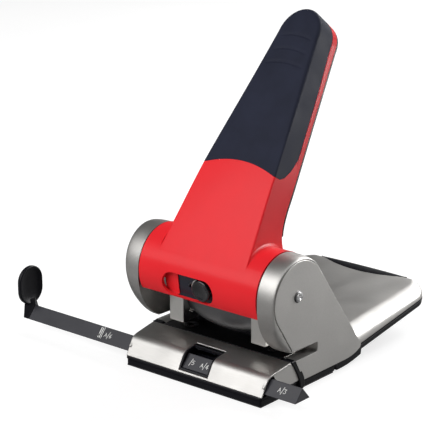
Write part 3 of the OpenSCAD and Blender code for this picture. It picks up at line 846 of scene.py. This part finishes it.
def stroke(points, width=0.45):
    """A painted line of constant width through (along, up) points, as flat quads."""
    parts = []
    for (a0, b0), (a1, b1) in zip(points, points[1:]):
        length = math.hypot(a1 - a0, b1 - b0) or 1
        na, nb = -(b1 - b0) / length * width / 2, (a1 - a0) / length * width / 2
        ea, eb = (a1 - a0) / length * width / 2, (b1 - b0) / length * width / 2
        parts.append([(a0 - ea + na, b0 - eb + nb), (a0 - ea - na, b0 - eb - nb),
                      (a1 + ea - na, b1 + eb - nb), (a1 + ea + na, b1 + eb + nb)])
    return parts


GLYPHS = {
    "A": [[(0, 0), (1.2, 3.2), (2.4, 0)], [(0.5, 1.2), (1.9, 1.2)]],
    "/": [[(0.2, -1.2), (1.6, 4.6)]],
    "3": [[(0, 3.2), (1.9, 3.2), (0.9, 1.9), (1.9, 1.1), (1.4, 0.1), (0, 0.2)]],
    "4": [[(1.5, 0), (1.5, 3.2), (0, 1.0), (2.2, 1.0)]],
    "5": [[(1.9, 3.2), (0.3, 3.2), (0.2, 1.8), (1.4, 1.9), (1.9, 1.0), (1.3, 0.1), (0, 0.2)]],
    "6": [[(1.7, 3.2), (0.5, 2.2), (0.1, 0.9), (0.8, 0), (1.7, 0.4), (1.7, 1.3), (0.4, 1.6)]],
}


def build_guide():
    """Guide bar with a rounded triangular section and its printed paper sizes."""
    front, tip, _ = BAR_SECTION
    rail = prism(BAR_SECTION, BAR_LOW[0] + 5.5, BAR_HIGH[0])
    piece("guide_rail", *rail, "guide_plastic", "guide", "guide_bar", bevel=0.5)
    run = Vector((tip[0] - front[0], tip[1] - front[1]))
    up = run.normalized()
    out = Vector((-up.y, up.x))
    quads = []

    def put(text, at, height):
        for glyph in text:
            for line in GLYPHS[glyph]:
                pts = [(at + a, height + b) for a, b in line]
                quads.extend(stroke(pts))
            at += 2.2 if glyph == "/" else 2.9

    put("A/6", -96, 5.2)
    put("A/3", 76, 5.2)
    put("A/4", 2.5, 5.0)
    put("/5", -8.0, 5.0)
    for x in (-101.5, -99.9):
        for k in range(4):
            quads.extend(stroke([(x, 3.6 + 2.2 * k), (x, 5.0 + 2.2 * k)], 0.8))
    quads.extend(stroke([(-98.4, 3.2), (-98.4, 12.4)], 0.5))
    verts, faces = [], []
    for quad in quads:
        base = len(verts)
        for lift in (0.02, 0.12):
            for along, high in quad:
                y, z = Vector(front) + up * high + out * lift
                verts.append((along, y, z))
        faces += [(base, base + 1, base + 2, base + 3), (base + 4, base + 5, base + 6, base + 7)]
        faces += [(base + i, base + (i + 1) % 4, base + 4 + (i + 1) % 4, base + 4 + i) for i in range(4)]
    piece("paper_size_marks", verts, faces, "guide_plastic", "guide", mat=MATS["print"], angle=30)


def build_paddle():
    x0, x1 = STOP_LOW[0], STOP_LOW[0] + 4.0
    r = (STOP_HIGH[1] - STOP_LOW[1]) / 2
    cy = (STOP_HIGH[1] + STOP_LOW[1]) / 2
    low, high = 20.2 + r, STOP_HIGH[2] - r

    def ring(g, x):
        top = [(x, cy + (r - g) * cos(a), high + (r - g) * sin(a)) for a in (pi * i / 24 for i in range(25))]
        bottom = [(x, 2 * cy - y, low + high - z) for x, y, z in top]
        return top + bottom

    rings = [ring(2.2, x0), ring(0.9, x0 + 0.25), ring(0.2, x0 + 1.0), ring(0, x0 + 1.8), ring(0, x1 - 0.7),
             ring(0.25, x1 - 0.2), ring(0.8, x1), ring(1.5, x1 - 0.1), ring(2.1, x1 - 0.7),
             ring(3.2, x1 - 1.5), ring(5.0, x1 - 2.0), ring(7.5, x1 - 2.3), ring(10.5, x1 - 2.45)]
    plate = loft(rings, caps=(True, True))
    front, tip, back = BAR_SECTION
    # slanted neck: the bar's section at its end, drawn out into the foot of the paddle
    left = BAR_LOW[0]
    neck_rings = []
    for t in (0.0, 0.35, 0.7, 1.0):
        s = smooth(t)
        neck_rings.append([
            (mix(left + 5.6, left, t), front[0], front[1]),
            (mix(left + 5.6, x0 + 0.6, s), mix(tip[0], cy - 5.5, s), mix(tip[1], 24.0, s)),
            (mix(left + 5.6, x1 - 0.6, s), mix(tip[0], cy + 5.0, s), mix(tip[1], 24.5, s)),
            (mix(left + 5.6, left + 1.2, t), back[0], back[1])])
    neck = loft(neck_rings, caps=(True, True))
    piece("paddle", *plate, "black_plastic", "guide", "paper_stop", angle=60)
    piece("paddle_neck", *neck, "black_plastic", "guide", bevel=0.4, angle=50)


# ---------------------------------------------------------------- base and tail
SWEEP_Y = 50.0
STEP_Y = 78.0
OFF_DESK = 0.4
TAIL_CORNER = 18.0


def under(y):
    """Underside of the base: it curves up, steps up behind the cheeks and slopes on."""
    if y < STEP_Y:
        return OFF_DESK + 0.0048 * max(y - SWEEP_Y, 0) ** 2
    return 8 + 0.161 * (y - STEP_Y)


def over(y):
    return 24.4 + 0.1 * (y - 48)


def hood_low(y):
    return under(max(y, STEP_Y)) + 5.1


def tail_plan(g, start, f=1.0):
    """U-shaped plan of the tail: left side, rear corners, right side; drawn in by g, scaled across by f."""
    half = BASE_HALF - 0.6 - g
    rx = max(TAIL_CORNER - g, 1.0)
    ry = TAIL_CORNER - 0.25 * g
    end = TAIL_Y - 0.25 * g
    left = [(-half, mix(start, end - ry, i / 26)) for i in range(27)]
    turns = [pi / 2 * i / 12 for i in range(1, 13)]
    corner = [(rx - half - rx * cos(a), end - ry + ry * sin(a)) for a in turns]
    back = [(mix(rx - half, 0, i / 8), end) for i in range(1, 9)]
    pts = left + corner + back
    pts += [(-x, y) for x, y in reversed(pts[:-1])]
    return [(x * f, y) for x, y in pts]


def build_hood():
    """Silver tail cover: flat top, broad rounded sides and corners; its front is behind the cheeks."""
    start = 48.6
    side = 13.5
    rings = []
    for g, q, lift in ((1.2, 0.08, 0), (0.5, 0.0, 0), (0.0, 0.0, 0.5), (0.0, 0.12, 0)):
        rings.append([(x, y, mix(hood_low(y), over(y), q) + lift) for x, y in tail_plan(g, start)])
    for k in range(1, 15):
        a = radians(90 * k / 14)
        g = side * (1 - cos(a)) ** 1.1
        q = 0.12 + 0.88 * sin(a) ** 0.95
        rings.append([(x, y, mix(hood_low(y), over(y), q)) for x, y in tail_plan(g, start)])
    for f in (0.8, 0.6, 0.4, 0.2, 0.0):
        rings.append([(x, y, over(y)) for x, y in tail_plan(side, start, f)])
    verts, faces = loft(rings, closed=False)
    # in front of the heels the hood runs between the cheeks
    room = CHEEK_IN - 0.3
    behind = 4.5
    verts = [(max(min(x, room), -room) if y < HEEL[0] - 0.75 * (z - HEEL[1]) - behind else x, y, z)
             for x, y, z in verts]
    piece("tail_cover", verts, faces, "silver_cover", "frame", "tail_hood", angle=60)


def build_tail_strip():
    """Black tray edge: under the cheeks a curved band with a rim, then a step up and on under the tail."""
    start = 44.7
    rows = [mix(start, STEP_Y - 0.3, i / 14) for i in range(15)] + [STEP_Y + 0.3]

    def plan(g, f=1.0):
        rear = [(x, y) for x, y in tail_plan(g, start) if y > STEP_Y + 1]
        half = BASE_HALF - 0.6 - g
        pts = [(-half, y) for y in rows] + rear + [(half, y) for y in reversed(rows)]
        return [(x * f, min(y, TAIL_Y)) for x, y in pts]

    def low_z(y):
        """The front end is cut back, so that the pan can swing."""
        return max(under(y), OFF_DESK + 2.4 * (46.3 - y))

    def high_z(y):
        return min(foot(y), hood_low(y)) - 0.6 if y < STEP_Y else hood_low(y) - 0.6

    rings = []
    for g, t in ((3.0, 0.0), (0.7, 0.0), (0.3, 0.08), (0.3, 0.62), (-0.3, 0.68), (-0.3, 0.92), (0.2, 1.0),
                 (2.2, 1.0), (2.4, 1.06)):
        rings.append([(x, y, mix(low_z(y), high_z(y), t)) for x, y in plan(g)])
    for f in (0.7, 0.35, 0.0):
        rings.append([(x, y, high_z(y)) for x, y in plan(2.4, f)])
    low = [[(x, y, low_z(y)) for x, y in plan(3.0, f)] for f in (0.0, 0.5)]
    piece("tail_tray", *loft(low + rings, closed=False), "black_plastic", "frame", "tail_base", angle=40)


def build_lip():
    """Black lens-shaped lip inset along the rear edge of the tail: straight behind, curved in front."""
    low, high = mm_box("rear_lip")
    half = high[0]
    depth = high[1] - low[1] - 1.2
    rings = []
    rear = TAIL_Y - 1.5
    end = TAIL_Y - 0.05
    top = over(TAIL_Y - 4)
    for i in range(41):
        x = mix(-half, half, i / 40)
        bulge = 1 - (x / half) ** 2
        front = TAIL_Y - 1.4 - depth * bulge
        rise = 0.1 + 0.6 * bulge
        rings.append([(x, front, over(front) - 1.5), (x, front, over(front) + 0.03),
                      (x, front + 0.2, over(front) + 0.5 * rise), (x, mix(front, rear, 0.45), top + rise),
                      (x, rear, top + 0.9 * rise), (x, TAIL_Y - 0.5, over(TAIL_Y) - 0.9),
                      (x, end, over(TAIL_Y) - 2.4), (x, end, hood_low(TAIL_Y) + 0.6),
                      (x, front, hood_low(TAIL_Y) + 0.6)])
    piece("rear_edge_lip", *loft(rings, caps=(True, True)), "black_plastic", "frame", "rear_lip", angle=60)


def build_pan():
    """Black chip pan: a lip and a set-back band with a shadow line between them, open at the top."""
    half = BASE_HALF - 0.3
    back = 44.2

    corners = ((1, back, 0.4, 0), (-1, back, 0.4, 90), (-1, FRONT_Y, 2, 180), (1, FRONT_Y, 2, 270))

    def plan(g):
        pts = []
        for side, edge, r, first in corners:
            near = max(r, g)
            cx = side * (half - near)
            cy = edge - math.copysign(near, edge)
            turns = [radians(first + 18 * i) for i in range(6)]
            pts += [(cx + (near - g) * cos(a), cy + (near - g) * sin(a)) for a in turns]
        return pts

    rim = mm_box("chip_pan")[1][2]
    band = ((8, 0.9), (1.0, 0.9), (0.6, 1.3), (0.6, 4.9), (0.95, 5.1), (0.95, 5.5))
    edge = ((0.0, 5.7), (0.0, rim - 0.5), (0.35, rim - 0.05), (1.6, rim - 0.05), (1.8, rim - 0.5))
    inside = ((1.8, 2.9), (8, 2.9))
    rings = [[(x, y, z) for x, y in plan(g)] for g, z in band + edge + inside]
    piece("chip_tray", *loft(rings, caps=(True, True)), "black_plastic", "pan", "chip_pan")


def build_bands():
    """Curved black straps between the table and the cheeks, ending in a rounded toe by the tray."""
    front = [(-13.5, PAPER_Z + 0.1), (-9.5, 20.4), (-5.7, 14.0), (-3.5, 9.6), (-2.7, 5.8), (-2.3, 2.4)]
    toe = [(-0.6, 1.0), (1.2, 0.9)]
    back = [(2.9, 2.2), (3.3, 5.6), (2.7, 9.8), (0.2, 14.8), (-3.8, 20.8), (-8.2, PAPER_Z + 0.1)]
    right = prism(front + toe + back, BASE_HALF - 7, BASE_HALF + 1.9)
    for side, part in (("left", mirrored(right)), ("right", right)):
        piece(side + "_strap", *part, "black_plastic", "frame", side + "_band", bevel=0.7, segments=3)


def build_punch_guides():
    """Bright steel guides: a square front leg and a low side plate with a step between them."""
    low, high = mm_box("right_punch_guide")
    half = (high[0] - low[0]) / 2
    front, back, bottom, top = low[1], high[1], low[2], high[2]
    side = [(front, bottom), (front, top), (front + 8, top), (front + 8, bottom + 7.6),
            (front + 10.6, bottom + 6.2), (back, bottom + 9.4), (back, bottom + 2.2), (back - 3, bottom)]
    part = prism(side, PUNCH_X - half, PUNCH_X + half)
    tube = revolve([(half - 0.6, bottom + 1), (half - 0.6, bottom + 9.1), (half - 1.2, bottom + 9.5),
                    (3.0, bottom + 9.5), (3.0, bottom + 8)], 40)
    tube = moved(tube, Matrix.Translation((PUNCH_X, 0, 0)))
    right = join(part, tube)
    for side, made in (("right", right), ("left", mirrored(right))):
        piece(side + "_guide_block", *made, "guide_steel", "frame", side + "_punch_guide", bevel=0.45)


def build_jaw():
    """Grey bulged plate between the guides; its lower edge is a shallow arc."""
    low, high = mm_box("jaw_shield")
    rings = []
    steps = 32
    for k in range(11):
        q = k / 10
        ring = []
        for i in range(steps + 1):
            x = mix(low[0] + 0.2, high[0] - 0.2, i / steps)
            edge = 0.35 + 5.2 * ((x - 2) / 33) ** 2
            z = mix(low[2] + edge, high[2] + 6, q ** 1.6)
            y = low[1] + 9.5 * (1 - q) ** 2.2 + 3.0 * (x / 33) ** 2
            ring.append((x, y, z))
        rings.append(ring)
    back = [(x, y + 2.5, z + 0.4) for x, y, z in rings[0]]
    inner = [(x, high[1], z) for x, y, z in back]
    skin = loft([inner, back] + rings, closed=False)
    piece("jaw_plate", *skin, "grey_plastic", "frame", "jaw_shield", angle=50)


# ---------------------------------------------------------------- stage
FLOOR_HALF = 6.0
FLOOR_GLOW = 0.75
WORLD_LIGHT = 0.11


def build_stage():
    """Pale floor that shows white, but throws little light back on the part."""
    bm = bmesh.new()
    bmesh.ops.create_grid(bm, x_segments=4, y_segments=4, size=FLOOR_HALF)
    mesh = bpy.data.meshes.new("floor")
    bm.to_mesh(mesh)
    bm.free()
    floor = bpy.data.objects.new("floor", mesh)
    bpy.context.collection.objects.link(floor)
    floor.location.z = -0.0002
    mat, nodes, links, shader = principled("pale_floor", (0.9, 0.9, 0.9), 0.65)
    path = nodes.new("ShaderNodeLightPath")
    seen = nodes.new("ShaderNodeMath")
    seen.operation = "MULTIPLY"
    seen.inputs[1].default_value = FLOOR_GLOW
    links.new(path.outputs["Is Camera Ray"], seen.inputs[0])
    links.new(seen.outputs["Value"], shader.inputs["Emission Strength"])
    shader.inputs["Emission Color"].default_value = (1, 1, 1, 1)
    shader.inputs["Specular IOR Level"].default_value = 0.2
    soft = noise(nodes, links, 3, 2)
    tint(nodes, links, soft, shader.inputs["Base Color"], (0.33, 0.33, 0.33), (0.36, 0.36, 0.36))
    floor.data.materials.append(mat)


def area(name, place, aim, size, power):
    """Soft rectangular lamp that the camera doesn't see."""
    lamp = bpy.data.lights.new(name, "AREA")
    lamp.shape = "RECTANGLE"
    lamp.size, lamp.size_y = size
    lamp.energy = power
    obj = bpy.data.objects.new(name, lamp)
    bpy.context.collection.objects.link(obj)
    obj.location = place
    obj.rotation_euler = (Vector(aim) - Vector(place)).to_track_quat("-Z", "Y").to_euler()
    obj.visible_camera = False
    return obj


def build_light():
    """Studio: a front key, a broad back light, a weak top light and a small sheen for the metal only."""
    world = bpy.data.worlds.new("studio")
    bpy.context.scene.world = world
    world.use_nodes = True
    nodes, links = world.node_tree.nodes, world.node_tree.links
    nodes["Background"].inputs["Color"].default_value = (1, 1, 1, 1)
    # the backdrop shows white to the camera only
    path = nodes.new("ShaderNodeLightPath")
    level = nodes.new("ShaderNodeMapRange")
    level.inputs["To Min"].default_value = WORLD_LIGHT
    level.inputs["To Max"].default_value = 1.0
    links.new(path.outputs["Is Camera Ray"], level.inputs["Value"])
    links.new(level.outputs["Result"], nodes["Background"].inputs["Strength"])
    area("front_left", (-0.45, -1.30, 1.00), (0, 0, 0.10), (1.6, 1.1), 24)
    area("back_right", (0.20, 1.30, 0.85), (0.05, 0.1, 0.03), (1.6, 0.8), 24)
    area("top_soft", (0.5, -0.3, 1.9), (0, 0, 0), (0.8, 0.8), 5)
    sheen = area("right_sheen", (0.34, 0.42, 0.22), (0.07, 0.0, 0.08), (0.26, 0.18), 2.6)
    sheen.visible_diffuse = False


CAMERA_PLACE = (0.8215, -0.9912, 0.5252)
CAMERA_AZIMUTH = radians(40.02)
CAMERA_ELEVATION = radians(17.23)
CAMERA_ROLL = radians(-0.15)
CAMERA_LENS = 148.3


def build_camera():
    """Looks from the front right, a little down."""
    cam = bpy.data.cameras.new("camera")
    cam.sensor_width = 36.0
    cam.lens = CAMERA_LENS
    cam.clip_end = 50
    obj = bpy.data.objects.new("camera", cam)
    bpy.context.collection.objects.link(obj)
    east, north = cos(CAMERA_AZIMUTH), sin(CAMERA_AZIMUTH)
    level, rise = cos(CAMERA_ELEVATION), sin(CAMERA_ELEVATION)
    right = Vector((east, north, 0))
    back = Vector((north * level, -east * level, rise))
    axes = Matrix([right, back.cross(right), back]).transposed().to_4x4()
    obj.matrix_world = Matrix.Translation(CAMERA_PLACE) @ axes @ Matrix.Rotation(CAMERA_ROLL, 4, "Z")
    bpy.context.scene.camera = obj


build_camera()
build_stage()
build_light()
paint_cad_nodes()
build_barrel()
build_grip()
build_liner()
build_lock()
for cheek in ("left", "right"):
    build_cheek(cheek)
build_axle_ends()
build_front_cover()
build_bezel()
build_guide()
build_paddle()
build_hood()
build_tail_strip()
build_lip()
build_pan()
build_bands()
build_punch_guides()
build_jaw()
bpy.context.scene.view_settings.view_transform = "Standard"
